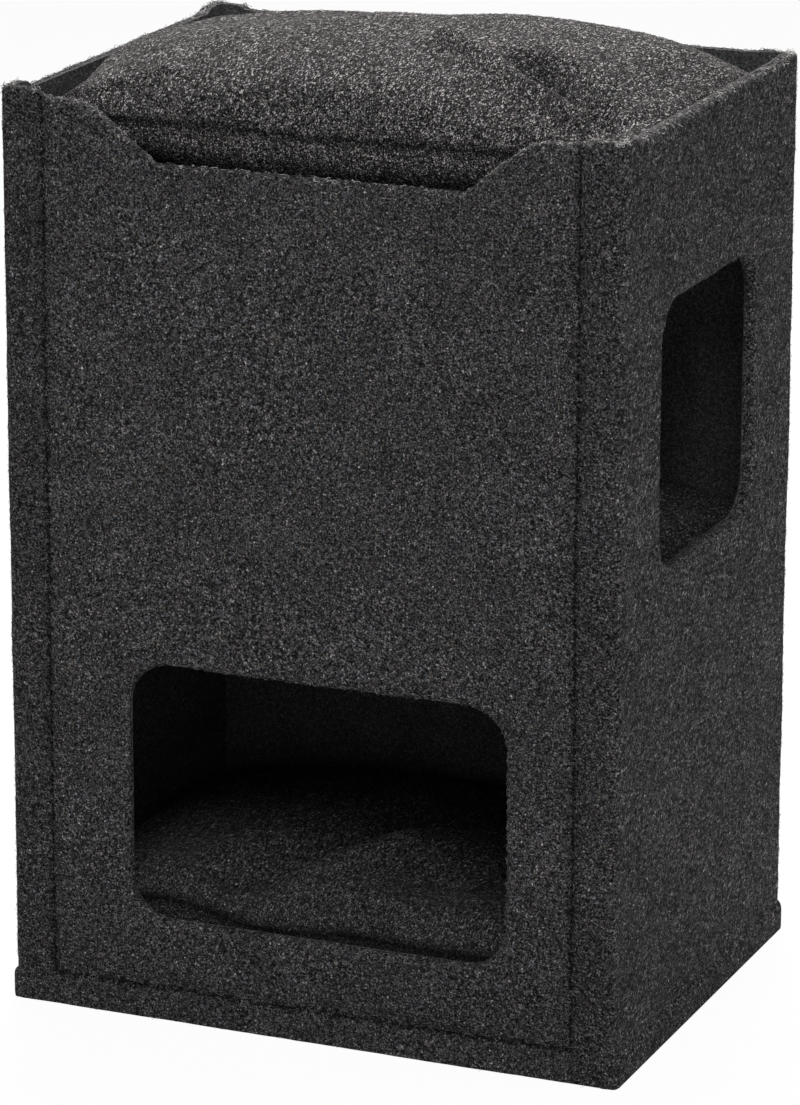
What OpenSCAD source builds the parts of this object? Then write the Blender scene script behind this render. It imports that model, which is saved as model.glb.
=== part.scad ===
// Cat condo: a box of felt-covered boards with two dens, one over the other, and a cushioned roof.
// The front faces -Y, +X is to the right, and the part stands on z = 0. Sizes are in millimetres.

/* [Walls] */
// Width over the side walls
wall_w = 416; // [360:1:500]
// Depth over the front and back walls
wall_d = 322; // [280:1:400]
// Height of the rim above the floor
wall_h = 600; // [580:1:720]
// Thickness of a wall board
board_t = 5; // [4:0.5:8]
// Thickness of the felt on each face of a board
felt_t = 2; // [1:0.25:3]
// Radius of the upright outside corners
corner_r = 6; // [4:0.5:8]
// Reach of the side felt round a corner, up to its seam
wrap_w = 29; // [18:1:38]
// Width of the seam grooves
seam_gap = 1.2; // [0.6:0.1:2.5]

/* [Front rim] */
// Depth of the scoop
scoop_d = 36; // [16:1:44]
// Length of the scoop's level foot
scoop_w = 207; // [150:1:225]
// Slope of the scoop's two ends
scoop_angle = 38; // [32:1:60]
// Radius of the shoulders above the slopes
shoulder_r = 36; // [15:1:42]
// Radius in the two corners of the foot
scoop_r = 6; // [2:0.5:12]

/* [Doorways] */
// Width of the front doorway
front_door_w = 259; // [180:1:300]
// Height of the front doorway
front_door_h = 172; // [120:1:172]
// Height of the front sill above the floor
front_sill = 68; // [50:1:70]
// Distance of the front doorway to the right of the middle
front_door_shift = 5; // [0:1:15]
// Width of the side doorway
side_door_w = 174; // [120:1:220]
// Height of the side doorway
side_door_h = 173; // [120:1:190]
// Height of the side sill above the floor
side_sill = 315; // [300:1:325]
// Distance of the side doorway in front of the middle
side_door_shift = 3; // [0:1:15]
// Radius of the corners of both doorways
door_r = 28; // [8:1:50]

/* [Base] */
// Thickness of the base board
base_board_t = 12; // [6:1:18]
// Height of the level seam above the foot strips
foot_h = 22; // [16:1:40]
// How far the side bindings stand proud of the walls
binding_t = 3; // [1.5:0.5:6]
// Height of the side bindings
binding_h = 20; // [10:1:36]

/* [Shelf and deck] */
// Height of the top of the shelf
shelf_top = 252; // [246:1:258]
// Height of the top of the roof deck
deck_top = 544; // [525:1:550]
// Thickness of the boards of the shelf and the deck
floor_board_t = 6; // [4:0.5:9]
// Gap between the edge of a floor and the wall lining
floor_gap = 1; // [0.5:0.25:3]
// Width of a ledge
ledge_w = 12; // [8:1:18]
// Height of a ledge
ledge_h = 14; // [8:1:20]
// Radius of a ledge's lower edge
ledge_r = 5; // [2:0.5:7]
// Distance from a ledge's end to the front or back lining
ledge_end_gap = 20; // [5:1:60]

/* [Cushions] */
// Gap between a cushion's corners and the wall lining
cushion_gap = 4; // [2:0.5:12]
// How far a cushion's sides are drawn in between its corners
drawn_in = 7; // [0:0.5:15]
// Height of a cushion's seam above the floor that it lies on
seam_h = 43; // [25:1:48]
// Height of a cushion's crown above the floor that it lies on
crown_h = 90; // [55:1:96]
// Thickness of a cushion's cover
cover_t = 1.6; // [0.8:0.2:3]

/* [Hidden] */
$fn = 64;
// Clearance of soft pieces, and of round faces that meet
soft_gap = 0.3;
// Overrun of every cut
over = 1;
// Steps in the arcs of the rim
arc_steps = 8;
// Cells of a cushion's surface along X and along Y
cells = [14, 10];
// Power of the roundness of a cushion's plan and section, and the fullness of its flat underside
plan_power = 2.6;
edge_power = 0.55;
underside_share = 1.7;
// How far back from a corner a side binding ends, as a share of the corner radius
binding_end_share = 0.33;

// Half widths and half depths of the faces between the layers of a wall, from outside to inside
half_w = wall_w / 2;
half_d = wall_d / 2;
board_x = half_w - felt_t;
board_y = half_d - felt_t;
lining_x = board_x - board_t;
lining_y = board_y - board_t;
den_x = lining_x - felt_t;
den_y = lining_y - felt_t;

// The walls reach up past the deck that they carry, so that the scoop's foot isn't below it
rim_top = max(wall_h, deck_top + scoop_d);
// The front seams run up at this distance from the middle
seam_x = half_w - wrap_w;
// Radius of the outer edges of the side boards, inside the felt
board_edge_r = corner_r - felt_t + soft_gap;

base_top = felt_t + base_board_t + felt_t;
floor_t = felt_t + floor_board_t + felt_t;
floor_x = den_x - floor_gap;
floor_y = den_y - floor_gap;

cushion_x = den_x - cushion_gap;
cushion_y = den_y - cushion_gap;

felt_colour = "#3a3b3d";
lining_colour = "#2f3032";
board_colour = "#b08d62";
batten_colour = "#cdb086";
cushion_colour = "#55565a";
filling_colour = "#eceae4";

// Flat shapes

// Rectangle about the origin with round corners
module rounded_rect(w, h, r) {
    square([w - 2 * r, h], center = true);
    square([w, h - 2 * r], center = true);
    for (x = [-1, 1], y = [-1, 1])
        translate([x * (w / 2 - r), y * (h / 2 - r)]) circle(r);
}

// Plan of the walls, inset from their outer faces
module wall_plan(inset, r) {
    rounded_rect(wall_w - 2 * inset, wall_d - 2 * inset, r);
}

// Half of the plan to the right of an upright line
module right_of(x) {
    translate([x, -wall_d]) square([wall_w, 2 * wall_d]);
}

// Points on an arc about a centre
function arc(centre, r, from, to) =
    [for (i = [0 : arc_steps]) let (a = from + (to - from) * i / arc_steps)
        centre + r * [cos(a), sin(a)]];

// Right half of the scoop's edge, from the shoulder down to the foot
function half_scoop(top) =
    let (slope_x = scoop_w / 2 + scoop_d / tan(scoop_angle),
         shoulder = [slope_x + shoulder_r * tan(scoop_angle / 2), top - shoulder_r],
         corner = [scoop_w / 2 - scoop_r * tan(scoop_angle / 2), top - scoop_d + scoop_r])
    concat(arc(shoulder, shoulder_r, 90, 90 + scoop_angle), arc(corner, scoop_r, -90 + scoop_angle, -90));

function reversed(list) = [for (i = [len(list) - 1 : -1 : 0]) list[i]];

// What the scoop takes out of a panel whose rim is at this height
module scoop(top) {
    right = half_scoop(top);
    left = [for (p = reversed(right)) [-p.x, p.y]];
    shoulder_x = right[0].x;
    polygon(concat(right, left, [[-shoulder_x, top + over], [shoulder_x, top + over]]));
}

// Front panel outline with the scooped rim
module scooped(x, bottom, top) difference() {
    panel(x, bottom, top);
    scoop(top);
}

// Band of felt between the board's scooped edge and the finished rim
module scooped_band(x, bottom, top) difference() {
    scooped(x, foot_h, top);
    scooped(x + over, foot_h - over, bottom);
}

module front_doorway(grow) {
    translate([front_door_shift, front_sill + front_door_h / 2])
        rounded_rect(front_door_w + 2 * grow, front_door_h + 2 * grow, door_r + grow);
}

module side_doorway(grow) {
    translate([-side_door_shift, side_sill + side_door_h / 2])
        rounded_rect(side_door_w + 2 * grow, side_door_h + 2 * grow, door_r + grow);
}

// Upright rectangle from a lower to an upper level
module panel(x, bottom, top) {
    translate([-x, bottom]) square([2 * x, top - bottom]);
}

// Placing

// Stands a shape drawn in X and Z on the plane at y, with its thickness towards +Y
module facing_y(y, t) {
    translate([0, y + t, 0]) rotate([90, 0, 0]) linear_extrude(t) children();
}

// Stands a shape drawn in Y and Z on the plane at x, with its thickness towards +X
module facing_x(x, t) {
    translate([x, 0, 0]) rotate([90, 0, 90]) linear_extrude(t) children();
}

module at_level(z, t) {
    translate([0, 0, z]) linear_extrude(t) children();
}

module on_left() {
    mirror([1, 0, 0]) children();
}

module on_back() {
    mirror([0, 1, 0]) children();
}

// Base

module base_felt() color(felt_colour) at_level(0, felt_t)
    rounded_rect(wall_w + 2 * binding_t, wall_d, binding_t);

module base_board() color(board_colour) at_level(felt_t, base_board_t)
    square([2 * den_x, 2 * den_y], center = true);

module base_lining() color(lining_colour) at_level(felt_t + base_board_t, felt_t)
    square([2 * den_x, 2 * den_y], center = true);

module foot_strip() color(felt_colour) facing_y(-half_d, felt_t)
    panel(seam_x - seam_gap / 2, felt_t, foot_h - seam_gap / 2);

module front_foot_strip() foot_strip();

module back_foot_strip() on_back() foot_strip();

// Binding round the foot of a side wall, with a round upper edge, cut off behind the corner's curve
module foot_binding() color(felt_colour) intersection() {
    at_level(felt_t, binding_h - felt_t) intersection() {
        difference() {
            rounded_rect(wall_w + 2 * binding_t, wall_d, binding_t);
            wall_plan(-soft_gap, corner_r);
        }
        right_of(half_w - corner_r * binding_end_share);
    }
    facing_y(-wall_d, 2 * wall_d) {
        panel(half_w, 0, binding_h);
        panel(half_w + binding_t, 0, binding_h - binding_t);
        translate([half_w, binding_h - binding_t]) circle(binding_t);
    }
}

module left_foot_binding() on_left() foot_binding();

module right_foot_binding() foot_binding();

// Wall boards

module front_board() color(board_colour) facing_y(-board_y, board_t) difference() {
    scooped(lining_x, felt_t, rim_top - felt_t);
    front_doorway(felt_t);
}

module back_board() color(board_colour) facing_y(lining_y, board_t)
    panel(lining_x, felt_t, rim_top - felt_t);

module side_board() color(board_colour) at_level(felt_t, rim_top - 2 * felt_t) intersection() {
    wall_plan(felt_t, board_edge_r);
    right_of(lining_x);
}

module left_board() on_left() side_board();

module right_board() difference() {
    side_board();
    facing_x(lining_x - over, board_t + 2 * over) side_doorway(felt_t);
}

// Outer felt

// Felt turned through a doorway, over the thickness of the board
module front_jamb() facing_y(-board_y, board_t) difference() {
    front_doorway(felt_t);
    front_doorway(0);
}

module side_jamb() facing_x(lining_x, board_t) difference() {
    side_doorway(felt_t);
    side_doorway(0);
}

// The front felt is turned over the rim and through the doorway
module front_felt() color(felt_colour) {
    facing_y(-half_d, felt_t) difference() {
        scooped(seam_x - seam_gap / 2, foot_h + seam_gap / 2, rim_top);
        front_doorway(0);
    }
    facing_y(-board_y, board_t) scooped_band(seam_x - seam_gap / 2, rim_top - felt_t, rim_top);
    front_jamb();
}

module back_felt() color(felt_colour) {
    facing_y(board_y, felt_t) panel(seam_x - seam_gap / 2, foot_h + seam_gap / 2, rim_top);
    facing_y(lining_y, board_t) panel(seam_x - seam_gap / 2, rim_top - felt_t, rim_top);
}

// The side felt wraps round both corners and is turned over the rim
module side_felt() color(felt_colour) {
    at_level(felt_t, rim_top - felt_t) intersection() {
        difference() {
            wall_plan(0, corner_r);
            wall_plan(felt_t, corner_r - felt_t);
        }
        right_of(seam_x + seam_gap / 2);
    }
    at_level(rim_top - felt_t, felt_t) intersection() {
        difference() {
            wall_plan(felt_t, corner_r - felt_t);
            square([2 * lining_x, 2 * lining_y], center = true);
        }
        right_of(seam_x + seam_gap / 2);
    }
}

module left_felt() on_left() side_felt();

module right_felt() color(felt_colour) {
    difference() {
        side_felt();
        facing_x(board_x - over, felt_t + 2 * over) side_doorway(0);
    }
    side_jamb();
}

// Lining

module front_lining() color(lining_colour) facing_y(-lining_y, felt_t) difference() {
    scooped(lining_x, felt_t, rim_top);
    front_doorway(0);
}

module back_lining() color(lining_colour) facing_y(den_y, felt_t) panel(lining_x, felt_t, rim_top);

module left_lining() color(lining_colour) facing_x(-lining_x, felt_t) panel(den_y, felt_t, rim_top);

module right_lining() color(lining_colour) facing_x(den_x, felt_t) difference() {
    panel(den_y, felt_t, rim_top);
    side_doorway(0);
}

// Ledges

// Batten along a side wall, under a floor whose top is at this height
module ledge(top) color(batten_colour)
    facing_y(ledge_end_gap - den_y, 2 * (den_y - ledge_end_gap))
        translate([den_x - ledge_w, top - floor_t - ledge_h]) {
            translate([ledge_r, 0]) square([ledge_w - ledge_r, ledge_h]);
            translate([0, ledge_r]) square([ledge_w, ledge_h - ledge_r]);
            translate([ledge_r, ledge_r]) circle(ledge_r);
        }

module left_shelf_ledge() on_left() ledge(shelf_top);

module right_shelf_ledge() ledge(shelf_top);

module left_deck_ledge() on_left() ledge(deck_top);

module right_deck_ledge() ledge(deck_top);

// Shelf and deck

module floor_board(top) color(board_colour) at_level(top - floor_t + felt_t, floor_board_t)
    square([2 * (floor_x - felt_t), 2 * (floor_y - felt_t)], center = true);

// The felt on a floor is turned down over the edges of its board
module floor_top_felt(top) color(felt_colour) {
    at_level(top - felt_t, felt_t) square([2 * floor_x, 2 * floor_y], center = true);
    at_level(top - floor_t + felt_t, floor_board_t) difference() {
        square([2 * floor_x, 2 * floor_y], center = true);
        square([2 * (floor_x - felt_t), 2 * (floor_y - felt_t)], center = true);
    }
}

module floor_bottom_felt(top) color(felt_colour) at_level(top - floor_t, felt_t)
    square([2 * floor_x, 2 * floor_y], center = true);

module shelf_board() floor_board(shelf_top);

module shelf_top_felt() floor_top_felt(shelf_top);

module shelf_bottom_felt() floor_bottom_felt(shelf_top);

module deck_board() floor_board(deck_top);

module deck_top_felt() floor_top_felt(deck_top);

module deck_bottom_felt() floor_bottom_felt(deck_top);

// Cushions

// From -1 to 1, with finer steps towards the edges
function spread(i, n) = i == 0 ? -1 : i == n ? 1 : sin(90 * (2 * i / n - 1));

// 0 on a cushion's seam and 1 at its crown
function swell(u, v) =
    pow((1 - pow(abs(u), plan_power)) * (1 - pow(abs(v), plan_power)), edge_power);

// Underside of a cushion, or its top turned over, as a grid of points below the seam
function bowl(inset, depth, fullness) =
    [for (j = [0 : cells.y]) for (i = [0 : cells.x])
        let (u = spread(i, cells.x), v = spread(j, cells.y))
        [u * (cushion_x - inset - drawn_in * (1 - v * v)),
         v * (cushion_y - inset - drawn_in * (1 - u * u)),
         (inset - depth) * min(1, fullness * swell(u, v))]];

function lowered(points, z) = [for (p = points) p - [0, 0, z]];

function turned_over(points) = [for (p = points) [p.x, p.y, -p.z]];

function point_at(i, j, first) = first + j * (cells.x + 1) + i;

function two_triangles(a, b, c, d) = [[a, b, c], [a, c, d]];

// Triangles of a grid, seen from above
function grid_faces(first) =
    [for (j = [0 : cells.y - 1]) for (i = [0 : cells.x - 1])
        each two_triangles(point_at(i, j, first), point_at(i, j + 1, first),
                           point_at(i + 1, j + 1, first), point_at(i + 1, j, first))];

function flipped(faces) = [for (f = faces) [f[0], f[2], f[1]]];

// Points round the edge of a grid, counterclockwise
function edge_loop() = concat(
    [for (i = [0 : cells.x - 1]) point_at(i, 0, 0)],
    [for (j = [0 : cells.y - 1]) point_at(cells.x, j, 0)],
    [for (i = [cells.x : -1 : 1]) point_at(i, cells.y, 0)],
    [for (j = [cells.y : -1 : 1]) point_at(0, j, 0)]);

// Solid between an upper and a lower grid of points, closed round the edge
module between(upper, lower) {
    count = len(upper);
    loop = edge_loop();
    edge_faces = [for (k = [0 : len(loop) - 1])
        let (a = loop[k], b = loop[(k + 1) % len(loop)])
        each two_triangles(a, b, b + count, a + count)];
    polyhedron(concat(upper, lower), concat(grid_faces(0), flipped(grid_faces(count)), edge_faces));
}

module at_seam(floor_level) {
    translate([0, 0, floor_level + seam_h]) children();
}

// Sheet of cover cloth below the seam, whose inner edge stays a little clear of the other sheet's
module cover_panel(depth, fullness) {
    between(lowered(bowl(cover_t, depth, fullness), soft_gap), bowl(0, depth, fullness));
}

module cushion_upper_panel(floor_level) color(cushion_colour) at_seam(floor_level)
    mirror([0, 0, 1]) cover_panel(crown_h - seam_h, 1);

module cushion_lower_panel(floor_level) color(cushion_colour) at_seam(floor_level)
    cover_panel(seam_h - soft_gap, underside_share);

// The filling clears its cover, and its edge is a thin upright band
module cushion_filling(floor_level) color(filling_colour) at_seam(floor_level) {
    inset = cover_t + 2 * soft_gap;
    upper = bowl(inset, crown_h - seam_h, 1);
    lower = bowl(inset, seam_h - soft_gap, underside_share);
    between(turned_over(lowered(upper, soft_gap)), lowered(lower, soft_gap));
}

module top_cushion_upper_panel() cushion_upper_panel(deck_top);

module top_cushion_lower_panel() cushion_lower_panel(deck_top);

module top_cushion_filling() cushion_filling(deck_top);

module upper_cushion_upper_panel() cushion_upper_panel(shelf_top);

module upper_cushion_lower_panel() cushion_lower_panel(shelf_top);

module upper_cushion_filling() cushion_filling(shelf_top);

module lower_cushion_upper_panel() cushion_upper_panel(base_top);

module lower_cushion_lower_panel() cushion_lower_panel(base_top);

module lower_cushion_filling() cushion_filling(base_top);

base_felt();
base_board();
base_lining();
front_foot_strip();
back_foot_strip();
left_foot_binding();
right_foot_binding();
front_board();
back_board();
left_board();
right_board();
front_felt();
back_felt();
left_felt();
right_felt();
front_lining();
back_lining();
left_lining();
right_lining();
left_shelf_ledge();
right_shelf_ledge();
left_deck_ledge();
right_deck_ledge();
shelf_board();
shelf_top_felt();
shelf_bottom_felt();
deck_board();
deck_top_felt();
deck_bottom_felt();
top_cushion_upper_panel();
top_cushion_lower_panel();
top_cushion_filling();
upper_cushion_upper_panel();
upper_cushion_lower_panel();
upper_cushion_filling();
lower_cushion_upper_panel();
lower_cushion_lower_panel();
lower_cushion_filling();
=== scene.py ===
# Looks of a felt cat condo: heathered felt over boards, sewn seams, stuffed cushions and loose fibres.
# The front faces -Y, +X is to the right, and the part stands on z = 0. Sizes are in metres.

import math
import random

import bmesh
import bpy
from mathutils import Matrix, Vector, noise


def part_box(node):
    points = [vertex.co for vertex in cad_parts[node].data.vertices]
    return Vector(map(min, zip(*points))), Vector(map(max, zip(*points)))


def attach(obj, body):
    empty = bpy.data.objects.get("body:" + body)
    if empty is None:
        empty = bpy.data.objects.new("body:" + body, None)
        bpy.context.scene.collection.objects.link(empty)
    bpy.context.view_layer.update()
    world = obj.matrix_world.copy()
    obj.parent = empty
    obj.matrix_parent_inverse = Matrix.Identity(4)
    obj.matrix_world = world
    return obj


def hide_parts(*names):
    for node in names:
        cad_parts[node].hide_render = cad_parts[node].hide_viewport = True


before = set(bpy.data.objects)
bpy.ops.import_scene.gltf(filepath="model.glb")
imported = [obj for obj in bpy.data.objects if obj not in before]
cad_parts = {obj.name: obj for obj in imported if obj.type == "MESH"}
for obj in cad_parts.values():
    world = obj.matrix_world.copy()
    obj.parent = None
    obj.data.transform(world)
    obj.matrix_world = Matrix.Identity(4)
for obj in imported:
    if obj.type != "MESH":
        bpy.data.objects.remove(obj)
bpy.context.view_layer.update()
scene = bpy.context.scene

# Places read from the frame
front_low, front_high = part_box("front_felt")
right_low, right_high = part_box("right_felt")
strip_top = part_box("front_foot_strip")[1].z
half_w = right_high.x
half_d = right_high.y
rim_top = right_high.z
wall_foot = right_low.z
seam_x = (front_high.x + right_low.x) / 2
foot_seam_z = (front_low.z + strip_top) / 2
den_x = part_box("right_lining")[0].x
den_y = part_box("back_lining")[0].y

# Directions
ACROSS = Vector((1, 0, 0))
ALONG = Vector((0, 1, 0))
UP = Vector((0, 0, 1))

# Tolerances of the mesh work
WELD = 1e-5
NEAR = 2e-4
FLAT_ANGLE = math.radians(1)
SHARP_ANGLE = math.radians(40)
SMOOTH_ANGLE = math.radians(50)

# Felt walls: their edges
CORNER_R = 0.006
FELT_T = 0.002
RIM_R = 0.0034
LINING_R = 0.0018
EDGE_SEGMENTS = 3
FELT_FOOT_Z = 0.0003
FOOT_TRIM = 0.0012

# Felt walls: the sewn seams, the valleys they draw in, and painted shade in the valleys, along the seam
# lines and on the strips that wrap round the corners
SEAM_R = 0.001
SEAM_OVERLAP = 0.00006
SEAM_REACH = 0.0008
SEAM_LINE_HALF_W = 0.0013
VALLEY_DEPTH = 0.0013
VALLEY_HALF_W = 0.0042
VALLEY_SHADE = 0.42
VALLEY_CUTS = (0.0012, 0.0022, 0.0034, 0.005, 0.0075)
# Painted shade on the strips beyond the upright seams, which wrap round the corners
WRAP_SHADE = 0.18

# Felt walls: waves, each with its height and how many go to a metre
WALL_GRID = 0.007
WAVES = ((0.0006, 14), (0.0004, 70))
WAVE_SEED = 7

# Felt walls: rise of the rim's corners, left or right, front or back
TIP_REACH = 0.032
TIP_FADE = 0.01
TIP_RISES = {(-1, -1): 0.0055, (1, -1): 0.003, (-1, 1): 0.0035, (1, 1): 0.001}

# Rolled bindings at the foot of the side walls
BEAD_CUTS = 12
BEAD_ROUND = 0.32
BEAD_LEAST = 0.08
BEAD_END = 0.006

# Cushions: the cut of the cover cloth and its full shape
CLOTH_X = 0.212
CLOTH_Y = 0.167
CLOTH_STEP = 0.005
EDGE_CROWDING = 0.6
SHEETS_APART = 0.001
PLAN_POWER = 2.6
EDGE_POWER = 0.55
UNDERSIDE_FULLNESS = 1.7
CORNER_CLEAR = 0.004

# Cushions: how the cloth behaves while it is stuffed
CLOTH_SETTINGS = {
    "quality": 6,
    "mass": 0.2,
    "tension_stiffness": 25,
    "compression_stiffness": 12,
    "shear_stiffness": 6,
    "bending_stiffness": 0.3,
    "air_damping": 2,
    "use_pressure": True,
    "uniform_pressure_force": 1,
}
CLOTH_GAP = 0.001
STUFFING_FRAMES = 24

# Cushions: the plates round the cloth, whose span is counted in rooms and whose rise in crown heights
CUSHION_CLEAR = 0.0015
PLATE_T = 0.05
PLATE_SKIN = 0.0005
PLATE_SPAN = 3
PLATE_RISE = 4

# Cushions: the seam, the painted shade along it, the folds and what is inside
ROUNDING_LEVELS = 1
CREASE_DEPTH = 0.0014
CREASE_HALF_W = 0.002
SEAM_SHADE_HALF_W = 0.0016
FOLD_FADE = 0.03
CUSHION_LEAST_CLEAR = 0.0006
COVER_T = 0.0016

# Slope of the top cushion down to the right rim: from where to where, how steep and how firm
SLOPE_ACROSS = (0.14, 0.18)
SLOPE_ALONG = (-0.105, 0.06)
SLOPE_FADE = 0.03
SLOPE_RISE = 0.45
SLOPE_BELOW_RIM = 0.008
SLOPE_SHARE = 0.85

# Loose fibres: where they stand, by the turn of the surface and by the depth below the face or the rim
EDGE_TURN = 0.985
EDGE_DEPTH = 0.008
FACE_DEPTH = 0.002
TOP_TURN = 0.05
RIM_TURN = 0.3
RIM_DEPTH = 0.05
RIM_CORNER = 0.03
RIM_CROWDING = 3

# Loose fibres: how they differ from each other and how far they keep off the walls
FIBRE_SEED = 7
FIBRE_LENGTHS = (0.5, 1)
FIBRE_LIFTS = (0.3, 1)
FIBRE_RADII = (0.7, 1.2)
FIBRE_ARC = 0.75
FIBRE_CLEAR = 0.0007

# Camera, from the photograph's frame of 800 by 1105 pixels
PHOTO_H = 1105
FOCAL_PX = 5455
SENSOR = 36
CLIP_END = 100
CAMERA_PLACE = Vector((1.308, -3.143, 1.287))
CAMERA_YAW = math.radians(22.656)
CAMERA_PITCH = math.radians(16.43)
CAMERA_ROLL = math.radians(0.15)

# Floor, world and lamps: each lamp's name, place, aim, size, power in watts and colour
WHITE = (1, 1, 1)
FLOOR_HALF = 15
FLOOR_GREY = (0.8, 0.8, 0.8)
FLOOR_WHITE_SHARE = 0.95
WORLD_STRENGTH = 0.26
LAMPS = (
    ("overhead", (-0.45, 1.2, 2.1), (0, 0, 0.55), 1.3, 91, (1, 0.97, 0.96)),
    ("front key", (0.75, -1.9, 2.65), (0, -0.1, 0.25), 1.6, 66, WHITE),
    ("front fill", (0.9, -3.0, 0.75), (0, 0, 0.3), 1.2, 5.4, WHITE),
    ("side fill", (2.4, 1.1, 0.7), (0.2, 0, -0.9), 1.6, 8, (1, 0.96, 0.955)),
)


# Node helpers

# Sockets of a Mix node that mixes two colours
MIX_SHARE, MIX_FIRST, MIX_SECOND, MIX_RESULT = 0, 6, 7, 2


def put(tree, kind, inputs=None, **settings):
    """Adds a node, with its settings and with values or links on its inputs."""
    made = tree.nodes.new(kind)
    for key, value in settings.items():
        setattr(made, key, value)
    for key, value in (inputs or {}).items():
        if isinstance(value, bpy.types.NodeSocket):
            tree.links.new(value, made.inputs[key])
        else:
            made.inputs[key].default_value = value
    return made


def maths(tree, operation, *values):
    made = put(tree, "ShaderNodeMath", dict(enumerate(values)), operation=operation)
    return made.outputs[0]


def noise_value(tree, vector, scale, detail=2.0, rough=0.6, twist=0.0, w=0.0):
    inputs = {"Vector": vector, "W": w, "Scale": scale, "Detail": detail, "Roughness": rough}
    inputs["Distortion"] = twist
    return put(tree, "ShaderNodeTexNoise", inputs, noise_dimensions="4D").outputs["Fac"]


def ramp_value(tree, value, low, high):
    inputs = {"Value": value, "From Min": low, "From Max": high}
    made = put(tree, "ShaderNodeMapRange", inputs, interpolation_type="SMOOTHSTEP", clamp=True)
    return made.outputs["Result"]


def mix_colour(tree, share, first, second):
    """Colour between two others, by a share that changes over the surface."""
    inputs = {MIX_SHARE: share, MIX_FIRST: (*first, 1), MIX_SECOND: (*second, 1)}
    return put(tree, "ShaderNodeMix", inputs, data_type="RGBA").outputs[MIX_RESULT]


def new_group(name, values_in, values_out):
    group = bpy.data.node_groups.new(name, "ShaderNodeTree")
    group.interface.new_socket("Vector", in_out="INPUT", socket_type="NodeSocketVector")
    for label in values_in:
        group.interface.new_socket(label, in_out="INPUT", socket_type="NodeSocketFloat")
    for label in values_out:
        group.interface.new_socket(label, in_out="OUTPUT", socket_type="NodeSocketFloat")
    return group, put(group, "NodeGroupInput"), put(group, "NodeGroupOutput")


def empty_tree(owner):
    """Node tree of a material or a world, without the nodes it starts with."""
    owner.use_nodes = True
    owner.node_tree.nodes.clear()
    return owner.node_tree


def new_material(name, rough, specular):
    """Material with a Principled shader, whose even values are set on the shader itself."""
    made = bpy.data.materials.new(name)
    tree = empty_tree(made)
    shader = put(tree, "ShaderNodeBsdfPrincipled", {"Roughness": rough, "Specular IOR Level": specular})
    put(tree, "ShaderNodeOutputMaterial", {"Surface": shader.outputs[0]})
    place = put(tree, "ShaderNodeTexCoord").outputs["Object"]
    return made, tree, shader, place


# Felt: dark pressed wool with pale curly fibres in it

# Grain is its fineness across x and z, and Nap along y; Limit holds back its brightest flecks
GRAIN_LABELS = ("Grain", "Nap", "Contrast", "Limit", "Fibres")
NOISE_MIDDLE = 0.5
GRAIN_SCALE = 800
GRAIN_DETAIL = 1.2
CLUMP_SCALE = 330
CLUMP_SHARE = 0.4
CLUMP_SLICE = 5.0
# Layers of fibres: scale, width and slice of the noise
FIBRE_LAYERS = ((240, 0.06, 3.1), (310, 0.055, 11.7), (400, 0.06, 27.3))
FIBRE_LINES = {"detail": 1.0, "rough": 0.4, "twist": 0.9}
FIBRE_CORE = 0.15
MASK_SCALE = 330
MASK_RANGE = (0.5, 0.66)
BLOTCH_SCALE = 28
BLOTCH_DETAIL = 3.0
BLOTCH_RANGE = 1.0
HUE_SCALE = 260
HUE_RANGE = (0.35, 0.65)
PLAIN_DETAIL = 1.0
# How far the painted shade in the pressed attribute darkens the felt
PAINTED_SHADE_DIM = 0.8
FELT_ROUGH = 0.95
FELT_SPECULAR = 0.05
FELT_BUMP = {"Strength": 0.6, "Distance": 0.0006}


def felt_grain():
    """Group with the shade of heathered felt, its height and its warmth."""
    group, start, end = new_group("felt grain", GRAIN_LABELS, ("Shade", "Height", "Warmth"))
    across, along = start.outputs["Grain"], start.outputs["Nap"]
    lie = put(group, "ShaderNodeCombineXYZ", {"X": across, "Y": along, "Z": across})
    drawn = put(group, "ShaderNodeMapping", {"Vector": start.outputs["Vector"], "Scale": lie.outputs[0]})
    place = drawn.outputs[0]
    fine = noise_value(group, place, GRAIN_SCALE, detail=GRAIN_DETAIL)
    clump = noise_value(group, place, CLUMP_SCALE, detail=PLAIN_DETAIL, w=CLUMP_SLICE)
    strands = None
    for scale, width, w in FIBRE_LAYERS:
        lines = noise_value(group, place, scale, w=w, **FIBRE_LINES)
        apart = maths(group, "ABSOLUTE", maths(group, "SUBTRACT", lines, NOISE_MIDDLE))
        thread = maths(group, "SUBTRACT", 1.0, ramp_value(group, apart, width * FIBRE_CORE, width))
        mask = ramp_value(group, noise_value(group, place, MASK_SCALE, w=w + 1), *MASK_RANGE)
        layer = maths(group, "MULTIPLY", thread, mask)
        strands = layer if strands is None else maths(group, "MAXIMUM", strands, layer)
    mixed = maths(group, "MULTIPLY_ADD", clump, CLUMP_SHARE, fine)
    centred = maths(group, "SUBTRACT", mixed, NOISE_MIDDLE + NOISE_MIDDLE * CLUMP_SHARE)
    spread = maths(group, "MULTIPLY", centred, start.outputs["Contrast"])
    grain = maths(group, "EXPONENT", maths(group, "MINIMUM", spread, start.outputs["Limit"]))
    lit = maths(group, "ADD", grain, maths(group, "MULTIPLY", strands, start.outputs["Fibres"]))
    blotch = noise_value(group, place, BLOTCH_SCALE, detail=BLOTCH_DETAIL)
    tone = maths(group, "MULTIPLY_ADD", blotch, BLOTCH_RANGE, 1 - BLOTCH_RANGE / 2)
    hue = noise_value(group, place, HUE_SCALE, detail=PLAIN_DETAIL)
    group.links.new(maths(group, "MULTIPLY", lit, tone), end.inputs["Shade"])
    group.links.new(maths(group, "ADD", mixed, strands), end.inputs["Height"])
    group.links.new(ramp_value(group, hue, *HUE_RANGE), end.inputs["Warmth"])
    return group


felt_grain_group = felt_grain()


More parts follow.
